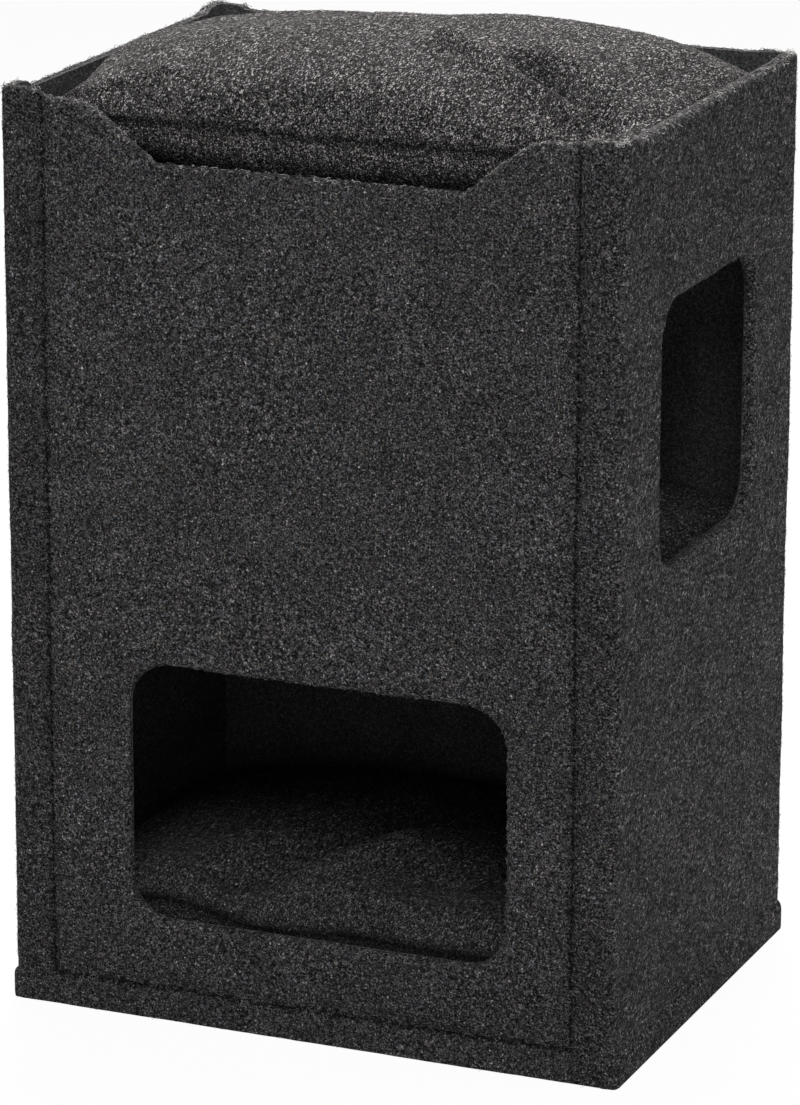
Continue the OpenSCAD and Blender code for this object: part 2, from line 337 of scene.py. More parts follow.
def felt_material(name, cool, warm, grain_values):
    """Heathered felt between a cool and a warm grey, with painted shade where its pressed attribute asks:
    along seams and on the strips that wrap round the corners.
    """
    made, tree, shader, place = new_material(name, FELT_ROUGH, FELT_SPECULAR)
    inputs = {"Vector": place, **dict(zip(GRAIN_LABELS, grain_values))}
    grain = put(tree, "ShaderNodeGroup", inputs, node_tree=felt_grain_group)
    hue = mix_colour(tree, grain.outputs["Warmth"], cool, warm)
    # The pressed attribute holds painted shade along seams and on the wrapped strips
    pressed = put(tree, "ShaderNodeAttribute", attribute_name="pressed").outputs["Fac"]
    dim = maths(tree, "MULTIPLY_ADD", pressed, -PAINTED_SHADE_DIM, 1.0)
    tone = maths(tree, "MULTIPLY", grain.outputs["Shade"], dim)
    shade = put(tree, "ShaderNodeVectorMath", {0: hue, "Scale": tone}, operation="SCALE")
    bump = put(tree, "ShaderNodeBump", {**FELT_BUMP, "Height": grain.outputs["Height"]})
    tree.links.new(shade.outputs[0], shader.inputs["Base Color"])
    tree.links.new(bump.outputs[0], shader.inputs["Normal"])
    return made


# Felts: cool shade, warm shade and the values for the grain's labels
wall_felt = felt_material("wall felt", (0.0168, 0.0172, 0.0186), (0.0195, 0.0183, 0.0178),
                          (1, 0.7, 10.5, 4, 3.8))
# The lining is the walls' felt made lighter: painted light that lifts the dark inside the dens
lining_felt = felt_material("lining felt", (0.042, 0.043, 0.045), (0.046, 0.045, 0.044),
                            (1, 0.7, 4.5, 4, 1.2))
roof_cloth = felt_material("roof cushion felt", (0.017, 0.0167, 0.017), (0.0197, 0.0184, 0.0179),
                           (1.3, 0.52, 16.5, 2.9, 2.2))
# The den cushions' felt is the roof cushion's felt made darker: painted shade inside the dens
den_cloth_shaded = felt_material("den cushion felt", (0.0158, 0.0157, 0.0159), (0.0178, 0.0171, 0.0168),
                          (1.3, 0.52, 10.5, 2.9, 1.6))


# Boards, battens and wadding, which show when the floors and the cushions are lifted out

STREAKS = {"detail": 6.0, "rough": 0.65, "twist": 0.4}
FLECK_SCALE = 900
FLECK_SHARE = 0.35
STREAK_RANGE = (0.3, 0.7)
STREAK_SPECULAR = 0.25
STREAK_BUMP = {"Strength": 0.3, "Distance": 0.0004}


def streaked_material(name, pale, dark, stretch, scale, rough):
    """Streaks and flecks between a pale and a dark shade."""
    made, tree, shader, place = new_material(name, rough, STREAK_SPECULAR)
    lie = put(tree, "ShaderNodeMapping", {"Vector": place, "Scale": stretch})
    streaks = noise_value(tree, lie.outputs[0], scale, **STREAKS)
    flecks = noise_value(tree, place, FLECK_SCALE)
    streak_part = maths(tree, "MULTIPLY", streaks, 1 - FLECK_SHARE)
    blend = maths(tree, "MULTIPLY_ADD", flecks, FLECK_SHARE, streak_part)
    hue = mix_colour(tree, ramp_value(tree, blend, *STREAK_RANGE), dark, pale)
    bump = put(tree, "ShaderNodeBump", {**STREAK_BUMP, "Height": blend})
    tree.links.new(hue, shader.inputs["Base Color"])
    tree.links.new(bump.outputs[0], shader.inputs["Normal"])
    return made


# Pale shade, dark shade, stretch and scale of the streaks, and roughness
fibreboard = streaked_material("fibreboard", (0.46, 0.31, 0.17), (0.3, 0.19, 0.1), (1, 1, 1), 420, 0.8)
softwood = streaked_material("softwood batten", (0.66, 0.5, 0.3), (0.47, 0.31, 0.16), (9, 1, 9), 60, 0.65)
wadding = streaked_material("polyester wadding", (0.88, 0.87, 0.84), (0.7, 0.69, 0.66), (1, 1, 1), 300, 0.9)


# Loose fibres

FIBRE_ROUGH = 0.9
FIBRE_HUE_SCALE = 160
FIBRE_HUE_RANGE = (0.3, 0.72)


def fibre_material(name, dark, pale):
    """Wool fibres, some dark and some pale."""
    made, tree, shader, place = new_material(name, FIBRE_ROUGH, FELT_SPECULAR)
    fleck = noise_value(tree, place, FIBRE_HUE_SCALE, detail=PLAIN_DETAIL)
    hue = mix_colour(tree, ramp_value(tree, fleck, *FIBRE_HUE_RANGE), dark, pale)
    tree.links.new(hue, shader.inputs["Base Color"])
    return made


loose_fibre = fibre_material("loose wool fibres", (0.03, 0.03, 0.032), (0.22, 0.213, 0.21))
# Pale curls: real loose fibres, which are also set thick on the rim tops as painted highlight
pale_highlight_fibre = fibre_material("pale wool curls", (0.08, 0.078, 0.076), (0.5, 0.485, 0.47))


# Object helpers

def dress(piece, material):
    piece.data.materials.clear()
    piece.data.materials.append(material)


def add_object(name, data):
    made = bpy.data.objects.new(name, data)
    scene.collection.objects.link(made)
    return made


def mesh_of(shell, name):
    """Turns a bmesh into a mesh and frees it."""
    made = bpy.data.meshes.new(name)
    shell.to_mesh(made)
    shell.free()
    return made


def worked_out(holder):
    """Mesh of an object as its modifiers or its curves make it."""
    graph = bpy.context.evaluated_depsgraph_get()
    return bpy.data.meshes.new_from_object(holder.evaluated_get(graph))


def place_piece(mesh, name, body, material, slot, *nodes):
    """Makes the finished object of a mesh, which rides on a body and stands for nodes."""
    mesh.shade_smooth()
    mesh.set_sharp_from_angle(angle=SMOOTH_ANGLE)
    piece = add_object(name, mesh)
    dress(piece, material)
    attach(piece, body)
    if nodes:
        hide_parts(*nodes)
    return piece


def to_piece(shell, name, body, material, slot, *nodes):
    """Makes the finished object of a bmesh, without faces that have no area."""
    bmesh.ops.dissolve_degenerate(shell, dist=WELD, edges=shell.edges)
    return place_piece(mesh_of(shell, name), name, body, material, slot, *nodes)


# Mesh helpers

def within(value, low, high):
    return max(low, min(high, value))


def eased(share):
    """A share from 0 to 1 that starts and ends gently."""
    share = within(share, 0, 1)
    return share * share * (3 - 2 * share)


def from_corner(co):
    """Distance in plan from the nearest corner of the walls."""
    return math.hypot(half_w - abs(co.x), half_d - abs(co.y))


def cad_copy(node):
    """The solid of a node, with its loose triangles joined into flat faces."""
    shell = bmesh.new()
    shell.from_mesh(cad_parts[node].data)
    bmesh.ops.remove_doubles(shell, verts=shell.verts, dist=WELD)
    bmesh.ops.dissolve_limit(shell, angle_limit=FLAT_ANGLE, verts=shell.verts, edges=shell.edges)
    return shell


def round_edges(shell, chosen, radius):
    sharp = [e for e in shell.edges
             if e.is_manifold and e.calc_face_angle() > SHARP_ANGLE and chosen(e)]
    bmesh.ops.bevel(shell, geom=sharp, offset=radius, offset_type="OFFSET", segments=EDGE_SEGMENTS,
                    profile=0.5, affect="EDGES", material=-1, clamp_overlap=False)


def cut_at(shell, direction, at):
    bmesh.ops.bisect_plane(shell, geom=shell.verts[:] + shell.edges[:] + shell.faces[:],
                           dist=WELD, plane_co=direction * at, plane_no=direction)


def cut_grid(shell, step):
    """Cuts flat faces into cells, so that they can be bent."""
    for axis, direction in enumerate((ACROSS, ALONG, UP)):
        places = [v.co[axis] for v in shell.verts]
        low, high = min(places), max(places)
        cells = int((high - low) / step) + 1
        for i in range(1, cells):
            cut_at(shell, direction, low + (high - low) * i / cells)


def wave(shell):
    """Bends a mesh a little out of true, by a noise that depends only on the place."""
    for v in shell.verts:
        place = v.co.copy()
        for height, per_metre in WAVES:
            v.co += height * noise.noise_vector(place * per_metre)
        v.co.z = max(v.co.z, FELT_FOOT_Z)


# Felt walls

def below_face(co):
    """How deep a point lies below the outer faces of the walls, with their round corners."""
    x = max(abs(co.x) - (half_w - CORNER_R), 0)
    y = max(abs(co.y) - (half_d - CORNER_R), 0)
    if x > 0 and y > 0:
        return CORNER_R - math.hypot(x, y)
    return min(half_w - abs(co.x), half_d - abs(co.y))


def close_seams(shell):
    """Brings the felt's cut edges together, where they are sewn."""
    for v in shell.verts:
        off = abs(v.co.x) - seam_x
        if abs(off) < SEAM_REACH:
            v.co.x = math.copysign(seam_x - math.copysign(SEAM_OVERLAP, off), v.co.x)
        rise = v.co.z - foot_seam_z
        if abs(rise) < SEAM_REACH and abs(v.co.x) < seam_x + NEAR:
            v.co.z = foot_seam_z - math.copysign(SEAM_OVERLAP, rise)


def lift_tips(shell):
    """The turned felt stands a little higher at the corners of the rim."""
    for v in shell.verts:
        share = eased((TIP_REACH - from_corner(v.co)) / TIP_FADE)
        if v.co.z > rim_top - TIP_REACH:
            height = 1 - (rim_top - v.co.z) / TIP_REACH
            rise = TIP_RISES[(1 if v.co.x > 0 else -1, 1 if v.co.y > 0 else -1)]
            v.co.z += rise * height * share


def from_seam(co):
    """Distance from the nearest seam of the front or the back: two upright ones and a level one."""
    aside = abs(co.x) - seam_x
    above = co.z - foot_seam_z
    return min(math.hypot(aside, min(above, 0)), math.hypot(max(aside, 0), above))


def sink_seams_and_paint_shade(shell):
    """Draws the felt in along its seams, and paints shade into the pressed attribute: in the valleys, along
    the seam lines and on the strips that wrap round the corners.
    """
    for away in VALLEY_CUTS:
        for side in (-1, 1):
            cut_at(shell, UP, foot_seam_z + side * away)
            for x in (-seam_x, seam_x):
                cut_at(shell, ACROSS, x + side * away)
    # The pressed attribute holds painted shade, which the felt material darkens by
    pressed = shell.verts.layers.float.new("pressed")
    for v in shell.verts:
        outward = 1 - (half_d - abs(v.co.y)) / FELT_T
        if outward > 0:
            away = from_seam(v.co)
            # Painted shade: darkest on the seam line, softer across the valley, and even on the wrapped
            # strips
            share = math.exp(-(away / VALLEY_HALF_W) ** 2)
            line = math.exp(-(away / SEAM_LINE_HALF_W) ** 2)
            wrap_shade = WRAP_SHADE * (abs(v.co.x) > seam_x)
            v[pressed] = wrap_shade + VALLEY_SHADE * share + (1 - VALLEY_SHADE - wrap_shade) * line
            v.co.y -= math.copysign(VALLEY_DEPTH * share * outward, v.co.y)


def outer_edge(e):
    return all(below_face(v.co) < NEAR and v.co.z > NEAR + wall_foot for v in e.verts)


def seam_edge(e):
    return outer_edge(e) and all(from_seam(v.co) < NEAR for v in e.verts)


def sewn(co):
    """Whether a point is on the cut edge of a felt that meets another one."""
    at_upright = abs(abs(co.x) - seam_x) < NEAR
    at_level = abs(co.z - foot_seam_z) < NEAR and abs(co.x) < seam_x
    return at_upright or at_level


def rim_edge(e):
    return outer_edge(e) and not all(sewn(v.co) for v in e.verts)


def to_ground(shell):
    """The outer felt reaches down over the edge of the base."""
    for v in shell.verts:
        if v.co.z < wall_foot + NEAR:
            v.co.z = FELT_FOOT_Z


def felt_wall(node):
    shell = cad_copy(node)
    close_seams(shell)
    to_ground(shell)
    round_edges(shell, rim_edge, RIM_R)
    round_edges(shell, seam_edge, SEAM_R)
    cut_grid(shell, WALL_GRID)
    sink_seams_and_paint_shade(shell)
    lift_tips(shell)
    wave(shell)
    return to_piece(shell, node + "_sewn", "carcass", wall_felt, "felt", node)


def upright_corner(e):
    return all(abs(v.co.x) > den_x - NEAR and abs(v.co.y) > den_y - NEAR for v in e.verts)


def at_den(co):
    return abs(abs(co.x) - den_x) < NEAR or abs(abs(co.y) - den_y) < NEAR


def inner_edge(e):
    """The edges of a lining on the den's side."""
    return all(at_den(v.co) and v.co.z > foot_seam_z for v in e.verts) and not upright_corner(e)


def lining(node):
    shell = cad_copy(node)
    round_edges(shell, inner_edge, LINING_R)
    cut_grid(shell, WALL_GRID)
    lift_tips(shell)
    to_piece(shell, node + "_glued", "carcass", lining_felt, "lining_felt", node)


def bead(height):
    """How far a foot binding stands out at a share of its height, round at its top and at the ground."""
    above = max(0, height - 1 + BEAD_ROUND) / BEAD_ROUND
    below = max(0, BEAD_ROUND / 2 - height) / BEAD_ROUND
    return max(BEAD_LEAST, math.sqrt(max(0, 1 - above * above))) * math.sqrt(1 - below * below)


def foot_bead(node):
    """Rolled binding along the foot of a side wall, which runs out round the corners."""
    shell = cad_copy(node)
    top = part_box(node)[1].z
    to_ground(shell)
    for i in range(1, BEAD_CUTS):
        cut_at(shell, UP, top * i / BEAD_CUTS)
        for side in (-1, 1):
            cut_at(shell, ALONG, side * (half_d - BEAD_END * i / BEAD_CUTS))
    for v in shell.verts:
        out = abs(v.co.x) - half_w
        near_end = max(0, 1 - (half_d - abs(v.co.y)) / BEAD_END)
        if out > 0:
            out *= bead(v.co.z / top) * math.sqrt(max(0, 1 - near_end * near_end))
            v.co.x = math.copysign(half_w + out, v.co.x)
        if near_end > 0:
            sink = CORNER_R - math.sqrt(max(0, CORNER_R ** 2 - (CORNER_R * near_end) ** 2))
            v.co.x -= math.copysign(sink, v.co.x)
    to_piece(shell, node + "_sewn", "carcass", wall_felt, "felt", node)


def base_sheet(node):
    """Felt under the base, a little inside the foot of the walls."""
    shell = cad_copy(node)
    for v in shell.verts:
        v.co.x -= math.copysign(FOOT_TRIM, v.co.x)
        v.co.y -= math.copysign(FOOT_TRIM, v.co.y)
    to_piece(shell, node + "_trimmed", "carcass", wall_felt, "felt", node)


WALLS = ("front", "back", "left", "right")
SEWN_FELTS = (*(side + "_felt" for side in WALLS), "front_foot_strip", "back_foot_strip")
noise.seed_set(WAVE_SEED)
sewn_felts = {node: felt_wall(node) for node in SEWN_FELTS}
for side in ("left", "right"):
    foot_bead(side + "_foot_binding")
base_sheet("base_felt")
for side in WALLS:
    lining(side + "_lining")


# CAD nodes that stay, with their materials

def finish_of(node):
    if node.endswith("_ledge"):
        return softwood
    if node.endswith("_board"):
        return fibreboard
    if node.endswith("_lining"):
        return lining_felt
    return wall_felt


for name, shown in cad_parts.items():
    if not shown.hide_render:
        dress(shown, finish_of(name))


# Cushions

panel_low, panel_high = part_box("top_cushion_upper_panel")
cushion_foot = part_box("top_cushion_lower_panel")[0].z
seam_height = panel_low.z - cushion_foot
crown_height = panel_high.z - cushion_foot


def crowded(t):
    """From -1 to 1, with finer steps towards both ends."""
    return (1 - EDGE_CROWDING) * t + EDGE_CROWDING * math.sin(t * math.pi / 2)


def sewn_sheets():
    """Two flat sheets of cover cloth, joined round their edges, with the flat distance to the seam."""
    shell = bmesh.new()
    seam_distance = shell.verts.layers.float.new("seam_distance")
    counts = (round(2 * CLOTH_X / CLOTH_STEP), round(2 * CLOTH_Y / CLOTH_STEP))
    for side in (1, -1):
        made = bmesh.ops.create_grid(shell, x_segments=counts[0], y_segments=counts[1], size=1)
        for v in made["verts"]:
            u, w = crowded(v.co.x), crowded(v.co.y)
            away = min(CLOTH_X * (1 - abs(u)), CLOTH_Y * (1 - abs(w)))
            v.co = Vector((u * CLOTH_X, w * CLOTH_Y, side * SHEETS_APART * (away > WELD)))
            v[seam_distance] = away
        if side < 0:
            faces = list({f for v in made["verts"] for f in v.link_faces})
            bmesh.ops.reverse_faces(shell, faces=faces)
    bmesh.ops.remove_doubles(shell, verts=shell.verts, dist=WELD)
    return mesh_of(shell, "cushion cover")


def swell(u, w):
    """Share of its full height that a cushion has at a point of its plan."""
    inside = max(0, (1 - abs(u) ** PLAN_POWER) * (1 - abs(w) ** PLAN_POWER))
    return inside ** EDGE_POWER


def start_shape(cover):
    """Shapes the cover as a full cushion, and returns the key that keeps its flat cut."""
    start = cover.shape_key_add(name="Start")
    flat = cover.shape_key_add(name="Flat")
    full_x, full_y = den_x - CORNER_CLEAR, den_y - CORNER_CLEAR
    for cut_point, full_point in zip(flat.data, start.data):
        u, w = cut_point.co.x / CLOTH_X, cut_point.co.y / CLOTH_Y
        if cut_point.co.z > 0:
            rise = (crown_height - seam_height) * swell(u, w)
        else:
            rise = -seam_height * min(1, UNDERSIDE_FULLNESS * swell(u, w))
        full_point.co = Vector((u * full_x, w * full_y, seam_height + rise))
    cover.data.vertices.foreach_set("co", [c for p in start.data for c in p.co])
    return flat


def press_plate(middle, size):
    """Plate that the cloth is pressed against while it is stuffed."""
    shell = bmesh.new()
    bmesh.ops.create_cube(shell, size=1)
    bmesh.ops.scale(shell, vec=size, verts=shell.verts)
    bmesh.ops.translate(shell, vec=middle, verts=shell.verts)
    plate = add_object("plate", mesh_of(shell, "plate"))
    plate.modifiers.new("Press", "COLLISION")
    plate.collision.thickness_outer = PLATE_SKIN
    return plate


def press_plates():
    """The floor and the four walls round the cushion."""
    room_x, room_y = den_x - CUSHION_CLEAR, den_y - CUSHION_CLEAR
    wide, deep, tall = PLATE_SPAN * room_x, PLATE_SPAN * room_y, PLATE_RISE * crown_height
    plates = [press_plate((0, 0, -PLATE_T / 2), (wide, deep, PLATE_T))]
    for side in (-1, 1):
        plates.append(press_plate((side * (room_x + PLATE_T / 2), 0, 0), (PLATE_T, deep, tall)))
        plates.append(press_plate((0, side * (room_y + PLATE_T / 2), 0), (wide, PLATE_T, tall)))
    return plates


def stuffed_cover():
    """Mesh of a stuffed cushion that stands on z = 0, pressed against the walls round it."""
    cover = add_object("cushion cover", sewn_sheets())
    flat = start_shape(cover)
    plates = press_plates()
    cloth = cover.modifiers.new("Stuffing", "CLOTH")
    for key, value in CLOTH_SETTINGS.items():
        setattr(cloth.settings, key, value)
    cloth.settings.effector_weights.gravity = 0
    cloth.settings.rest_shape_key = flat
    cloth.collision_settings.use_collision = True
    cloth.collision_settings.distance_min = CLOTH_GAP
    frames = STUFFING_FRAMES
    for number in range(1, frames + 1):
        scene.frame_set(number)
    made = worked_out(cover)
    scene.frame_set(1)
    for used in [cover, *plates]:
        bpy.data.objects.remove(used)
    return made


def to_height(mesh):
    """Sets the cushion on its floor and brings its crown to its height."""
    heights = [v.co.z for v in mesh.vertices]
    low, high = min(heights), max(heights)
    for v in mesh.vertices:
        v.co.z = (v.co.z - low) * crown_height / (high - low)


def rounder(mesh):
    """One subdivision, kept in the mesh."""
    holder = add_object("rounder", mesh)
    smooth = holder.modifiers.new("Round", "SUBSURF")
    smooth.levels = ROUNDING_LEVELS
    smooth.render_levels = ROUNDING_LEVELS
    made = worked_out(holder)
    bpy.data.objects.remove(holder)
    return made


def sew(mesh):
    """Draws the seam in round the cushion's edge, and paints shade along it into the pressed attribute."""
    normals = [v.normal.copy() for v in mesh.vertices]
    pressed = []
    for v, normal, away in zip(mesh.vertices, normals, mesh.attributes["seam_distance"].data):
        share = max(0, 1 - away.value / CREASE_HALF_W)
        v.co -= normal * CREASE_DEPTH * share
        # Painted shade along the seam
        pressed.append(max(0, 1 - away.value / SEAM_SHADE_HALF_W))
    mesh.attributes.new("pressed", "FLOAT", "POINT").data.foreach_set("value", pressed)


stuffed = stuffed_cover()
to_height(stuffed)
cushion_cover = rounder(stuffed)
sew(cushion_cover)


def from_line(point, line):
    """Distance in plan from a line of points."""
    nearest = math.inf
    for a, b in zip(line, line[1:]):
        along = Vector(b) - Vector(a)
        share = within((point - Vector(a)).dot(along) / max(along.length_squared, WELD), 0, 1)
        nearest = min(nearest, (point - Vector(a) - along * share).length)
    return nearest


def swelling(point, folds):
    """Sum of the rises of some folds at a point of the plan."""
    return sum(rise * math.exp(-(from_line(point, line) / half) ** 2) for line, half, rise in folds)


def fold(mesh, folds, lifts):
    """Raises and sinks the upper sheet by folds, and the whole edge by lifts."""
    rises = []
    for v, away in zip(mesh.vertices, mesh.attributes["seam_distance"].data):
        point = v.co.xy
        rise = swelling(point, lifts) * within(v.co.z / seam_height, 0, 1)
        if v.normal.z > 0 and v.co.z > seam_height / 2:
            rise += swelling(point, folds) * min(1, away.value / FOLD_FADE) * v.normal.z
        rises.append(rise)
    for v, rise in zip(mesh.vertices, rises):
        v.co.z += rise


def meet_rim(mesh, floor_z):
    """Presses the right shoulder of a cushion to a slope that meets the rim."""
    start, full = SLOPE_ACROSS
    front, back = SLOPE_ALONG
    for v in mesh.vertices:
        along = eased(1 + (v.co.y - front) / SLOPE_FADE) * eased(1 + (back - v.co.y) / SLOPE_FADE)
        share = SLOPE_SHARE * along * eased((v.co.x - start) / (full - start))
        goal = rim_top - SLOPE_BELOW_RIM - floor_z + SLOPE_RISE * (den_x - v.co.x)
        if v.co.z > seam_height:
            v.co.z += share * (goal - v.co.z)
        else:
            v.co.z += share * (goal - seam_height) * v.co.z / seam_height


# Folds and lifts in plan: points of the line, half width and rise
TOP_FOLDS = (
    (((0.047, -0.046), (0.121, -0.106), (0.148, -0.11), (0.163, -0.12)), 0.011, 0.011),
    (((0.105, -0.05), (0.138, -0.08), (0.168, -0.1)), 0.014, -0.019),
    (((0.125, -0.058), (0.15, -0.078), (0.165, -0.086)), 0.02, -0.014),
    (((0.162, -0.088), (0.168, -0.086)), 0.008, -0.01),
    (((0.172, -0.084), (0.178, -0.07), (0.184, -0.035)), 0.006, 0.006),
    (((-0.184, -0.122), (-0.16, -0.131), (-0.132, -0.128), (-0.112, -0.12)), 0.007, 0.006),
    (((-0.175, -0.138), (-0.155, -0.147), (-0.13, -0.148)), 0.012, -0.011),
    (((-0.13, 0.075), (-0.01, 0.085)), 0.058, -0.012),
    (((-0.02, 0.05), (0.03, 0.058)), 0.045, 0.005),
)
TOP_LIFTS = (
    (((0.2, 0.12), (0.18, 0.15)), 0.035, -0.006),
    (((-0.2, -0.04), (-0.2, 0.15), (-0.1, 0.15)), 0.045, 0.005),
    (((-0.2, -0.15), (-0.2, -0.09)), 0.03, -0.009),
)
UPPER_FOLDS = (
    (((-0.02, 0.0), (0.05, 0.02)), 0.08, -0.014),
    (((0.1, -0.09), (0.15, -0.03)), 0.02, -0.007),
    (((-0.12, -0.1), (-0.06, -0.04)), 0.016, 0.005),
)
LOWER_FOLDS = (
    (((-0.068, -0.125), (-0.05, -0.095), (-0.029, -0.06), (0.0, 0.0)), 0.022, -0.018),
    (((-0.028, -0.145), (-0.019, -0.125), (-0.006, -0.09), (0.023, -0.045)), 0.015, 0.009),
    (((0.06, -0.08), (0.1, -0.06), (0.12, 0.0)), 0.035, -0.014),
    (((0.05, -0.14), (0.12, -0.14)), 0.015, 0.005),
    (((0.08, 0.05), (0.15, 0.06)), 0.07, -0.012),
)
LOWER_LIFTS = (
    (((-0.19, -0.15), (-0.11, -0.145)), 0.045, 0.017),
    (((-0.06, -0.15), (0.0, -0.15)), 0.04, 0.005),
    (((0.04, -0.148), (0.15, -0.148)), 0.05, 0.009),
)


def cushion(name, cloth, floor_z, folds, lifts=(), under_rim=False):
    """Cover and wadding of a cushion, with its own folds, on its floor."""
    mesh = cushion_cover.copy()
    if under_rim:
        meet_rim(mesh, floor_z)
    fold(mesh, folds, lifts)
    room_x, room_y = den_x - CUSHION_LEAST_CLEAR, den_y - CUSHION_LEAST_CLEAR
    for v in mesh.vertices:
        v.co.x = within(v.co.x, -room_x, room_x)
        v.co.y = within(v.co.y, -room_y, room_y)
        v.co.z = max(CUSHION_LEAST_CLEAR, v.co.z) + floor_z
    piece = place_piece(mesh, name + "_cover", name, cloth, "cushion_cover",
                        name + "_upper_panel", name + "_lower_panel")
    inner = mesh.copy()
    inward = [v.normal * COVER_T for v in mesh.vertices]
    for v, step in zip(inner.vertices, inward):
        v.co -= step
    filling = place_piece(inner, name + "_wadding", name, wadding, "filling", name + "_filling")
    return piece


deck_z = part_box("deck_top_felt")[1].z
shelf_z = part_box("shelf_top_felt")[1].z
base_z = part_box("base_lining")[1].z
covers = {
    "top_cushion": cushion("top_cushion", roof_cloth, deck_z, TOP_FOLDS, TOP_LIFTS, under_rim=True),
    # The cushions in the dens wear the darkened felt, as painted shade
    "upper_cushion": cushion("upper_cushion", den_cloth_shaded, shelf_z, UPPER_FOLDS),
    "lower_cushion": cushion("lower_cushion", den_cloth_shaded, base_z, LOWER_FOLDS, LOWER_LIFTS),
}


# Loose fibres that stand out of the felt

def spots(piece, count, wanted, draw):
    """Places and normals on the triangles of a piece, as often as their area and a weight ask for."""
    mesh = piece.data
    mesh.calc_loop_triangles()
    triangles = []
    for t in mesh.loop_triangles:
        weight = t.area * wanted(t.center, t.normal)
        if weight > 0:
            corners = sorted(tuple(mesh.vertices[i].co) for i in t.vertices)
            triangles.append((corners, tuple(t.normal), weight))
    # The order of a mesh's faces changes from run to run, so they are sorted by their places
    triangles.sort()
    weights = [weight for corners, normal, weight in triangles]
    found = []
    for corners, normal, weight in draw.choices(triangles, weights, k=count):
        a, b, c = (Vector(corner) for corner in corners)
        u, w = sorted((draw.random(), draw.random()))
        found.append((a * u + b * (w - u) + c * (1 - w), Vector(normal)))
    return found


def fibre_path(root, normal, length, lift, curl, steps, draw):
    """Points of a curly fibre that leaves a surface, lies over it and comes back towards it."""
    heading = normal.orthogonal().normalized()
    heading.rotate(Matrix.Rotation(draw.uniform(0, math.tau), 3, normal))
    bend = Matrix.Rotation(draw.gauss(0, curl), 3, normal)
    point = root.copy()
    path = []
    for i in range(steps):
        share = i / (steps - 1)
        path.append(point + normal * lift * math.sin(math.pi * FIBRE_ARC * share))
        point = point + heading * length / (steps - 1)
        heading.rotate(bend)
    return path


# Kinds of fibre: length, lift off the felt, radius, bend at each point, points and material
FINE = (0.0045, 0.0006, 0.00009, 0.55, 4, loose_fibre)
EDGE = (0.0036, 0.0006, 0.0001, 0.6, 4, loose_fibre)
# Pale curls on the rim tops: real fibres and partly painted highlight
CURL = (0.006, 0.0011, 0.00018, 0.9, 6, pale_highlight_fibre)


def fibre_piece(name, body, slot, roots, kind, draw, held):
    """One piece of many fibres, each kept in its own space by a rule."""
    length, lift, radius, curl, steps, material = kind
    data = bpy.data.curves.new(name, "CURVE")
    data.dimensions = "3D"
    data.bevel_depth = radius
    data.bevel_resolution = 0
    data.use_fill_caps = True
    for root, normal in roots:
        own_length = draw.uniform(*FIBRE_LENGTHS) * length
        own_lift = draw.uniform(*FIBRE_LIFTS) * lift
        path = fibre_path(root, normal, own_length, own_lift, curl, steps, draw)
        line = data.splines.new("POLY")
        line.points.add(len(path) - 1)
        for point, place in zip(line.points, path):
            point.co = (*held(place), 1)
            point.radius = draw.uniform(*FIBRE_RADII)
    holder = add_object(name, data)
    mesh = worked_out(holder)
    bpy.data.objects.remove(holder)
    place_piece(mesh, name, body, material, slot)


def out_of_den(place):
    """Keeps the fibres of the walls out of the cushions' way."""
    x, y, z = place
    if abs(x) < den_x and abs(y) < den_y:
        if den_x - abs(x) < den_y - abs(y):
            x = math.copysign(den_x, x)
        else:
            y = math.copysign(den_y, y)
    return x, y, max(z, FELT_FOOT_Z)


def off_walls(place):
    """Keeps the fibres of a cushion off the walls."""
    x, y, z = place
    room_x, room_y = den_x - FIBRE_CLEAR, den_y - FIBRE_CLEAR
    return within(x, -room_x, room_x), within(y, -room_y, room_y), z


def on_edge(co, normal):
    return max(abs(c) for c in normal) < EDGE_TURN and below_face(co) < EDGE_DEPTH


def on_face(co, normal):
    return below_face(co) < FACE_DEPTH and not on_edge(co, normal)


def on_top(co, normal):
    return normal.z > TOP_TURN


def on_rim(co, normal):
    """More curls towards the corners, where the turned felt is thickest; the pale curls on the rim tops
    also paint highlight onto the rims.
    """
    near_corner = math.exp(-(from_corner(co) / RIM_CORNER) ** 2)
    return (normal.z > RIM_TURN and co.z > rim_top - RIM_DEPTH) * (1 + RIM_CROWDING * near_corner)


# Fibres of each felt: along its edges, on its face and as curls on the rim
FELT_FIBRES = (
    ("front_felt", 2800, 2800, 160),
    ("right_felt", 3000, 2600, 260),
    ("left_felt", 2200, 1800, 160),
    ("back_felt", 1800, 1800, 120),
    ("front_foot_strip", 300, 250, 0),
    ("back_foot_strip", 200, 150, 0),
)
CUSHION_FIBRES = (("top_cushion", 5200), ("upper_cushion", 1200), ("lower_cushion", 2600))

draw = random.Random(FIBRE_SEED)
for node, on_edges, on_faces, on_rims in FELT_FIBRES:
    sheet = sewn_felts[node]
    roots = spots(sheet, on_edges, on_edge, draw)
    fibre_piece(node + "_edge_fibres", "carcass", "felt", roots, EDGE, draw, out_of_den)
    roots = spots(sheet, on_faces, on_face, draw)
    fibre_piece(node + "_fibres", "carcass", "felt", roots, FINE, draw, out_of_den)
    if on_rims:
        roots = spots(sheet, on_rims, on_rim, draw)
        fibre_piece(node + "_rim_curls", "carcass", "felt", roots, CURL, draw, out_of_den)
for body, count in CUSHION_FIBRES:
    roots = spots(covers[body], count, on_top, draw)
    fibre_piece(body + "_fibres", body, "cushion_cover", roots, FINE, draw, off_walls)


# Camera, floor and lights

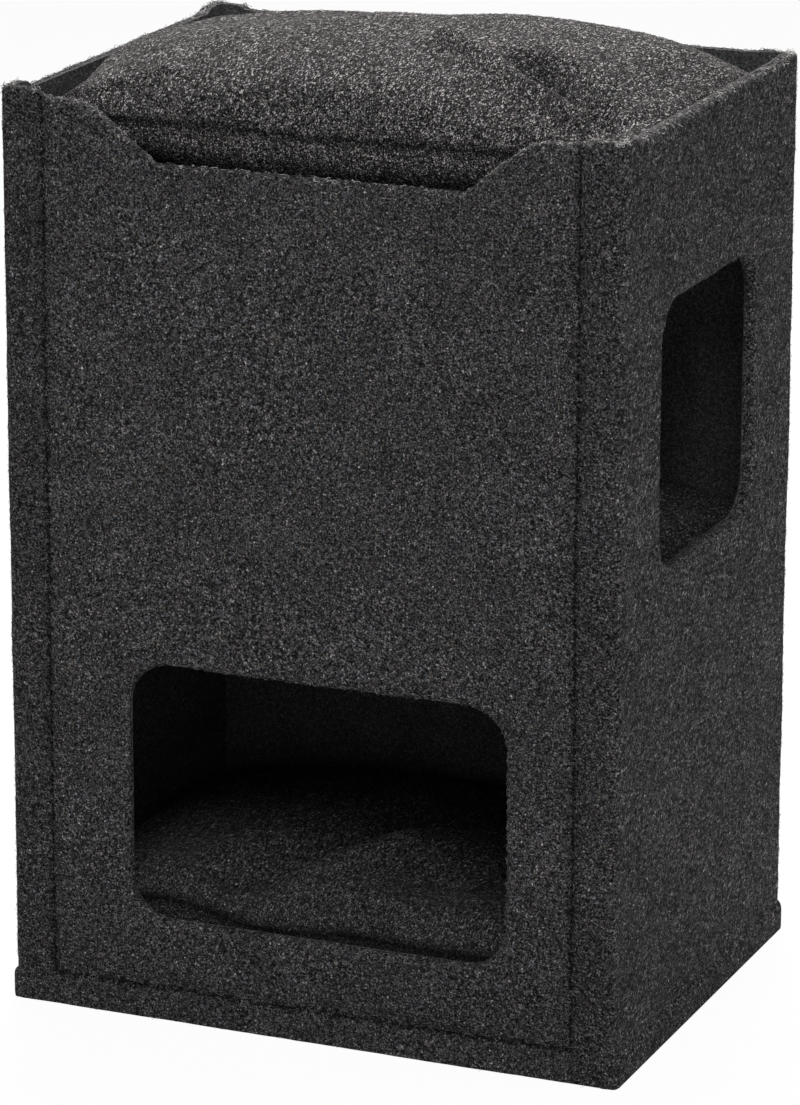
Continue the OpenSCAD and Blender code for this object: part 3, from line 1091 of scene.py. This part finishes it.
def make_camera():
    ahead = Vector((-math.sin(CAMERA_YAW) * math.cos(CAMERA_PITCH),
                    math.cos(CAMERA_YAW) * math.cos(CAMERA_PITCH), -math.sin(CAMERA_PITCH)))
    right = Vector((math.cos(CAMERA_YAW), math.sin(CAMERA_YAW), 0))
    up = right.cross(ahead)
    turn = Matrix((right, up, -ahead)).transposed() @ Matrix.Rotation(CAMERA_ROLL, 3, "Z")
    data = bpy.data.cameras.new("camera")
    data.sensor_width = SENSOR
    data.lens = FOCAL_PX * SENSOR / PHOTO_H
    data.clip_end = CLIP_END
    camera = add_object("camera", data)
    camera.matrix_world = Matrix.Translation(CAMERA_PLACE) @ turn.to_4x4()
    scene.camera = camera


def seen_directly(tree):
    """1 for rays that come from the camera, a mirror or glass."""
    path = put(tree, "ShaderNodeLightPath")
    seen = maths(tree, "MAXIMUM", path.outputs["Is Camera Ray"], path.outputs["Is Glossy Ray"])
    return maths(tree, "MAXIMUM", seen, path.outputs["Is Transmission Ray"])


def make_floor():
    """Pale floor that looks white and still takes the object's shadow."""
    shell = bmesh.new()
    bmesh.ops.create_grid(shell, x_segments=1, y_segments=1, size=FLOOR_HALF)
    floor = add_object("floor", mesh_of(shell, "floor"))
    made = bpy.data.materials.new("white floor")
    tree = empty_tree(made)
    plain = put(tree, "ShaderNodeBsdfDiffuse", {"Color": (*FLOOR_GREY, 1)})
    white = put(tree, "ShaderNodeEmission", {"Color": (*WHITE, 1), "Strength": 1.0})
    share = maths(tree, "MULTIPLY", seen_directly(tree), FLOOR_WHITE_SHARE)
    both = put(tree, "ShaderNodeMixShader", {0: share, 1: plain.outputs[0], 2: white.outputs[0]})
    put(tree, "ShaderNodeOutputMaterial", {"Surface": both.outputs[0]})
    dress(floor, made)


def make_world():
    """Soft even light, in front of a white background."""
    world = bpy.data.worlds.new("studio")
    tree = empty_tree(world)
    light = put(tree, "ShaderNodeBackground", {"Color": (*WHITE, 1), "Strength": WORLD_STRENGTH})
    white = put(tree, "ShaderNodeBackground", {"Color": (*WHITE, 1), "Strength": 1.0})
    shaders = {0: seen_directly(tree), 1: light.outputs[0], 2: white.outputs[0]}
    both = put(tree, "ShaderNodeMixShader", shaders)
    put(tree, "ShaderNodeOutputWorld", {"Surface": both.outputs[0]})
    scene.world = world


def soft_box(name, place, aim, size, power, colour):
    data = bpy.data.lights.new(name, "AREA")
    data.shape = "SQUARE"
    data.size = size
    data.energy = power
    data.color = colour
    lamp = add_object(name, data)
    lamp.location = place
    lamp.rotation_euler = (Vector(aim) - Vector(place)).to_track_quat("-Z", "Y").to_euler()


make_camera()
make_floor()
make_world()
for lamp_values in LAMPS:
    soft_box(*lamp_values)
scene.view_settings.view_transform = "Standard"
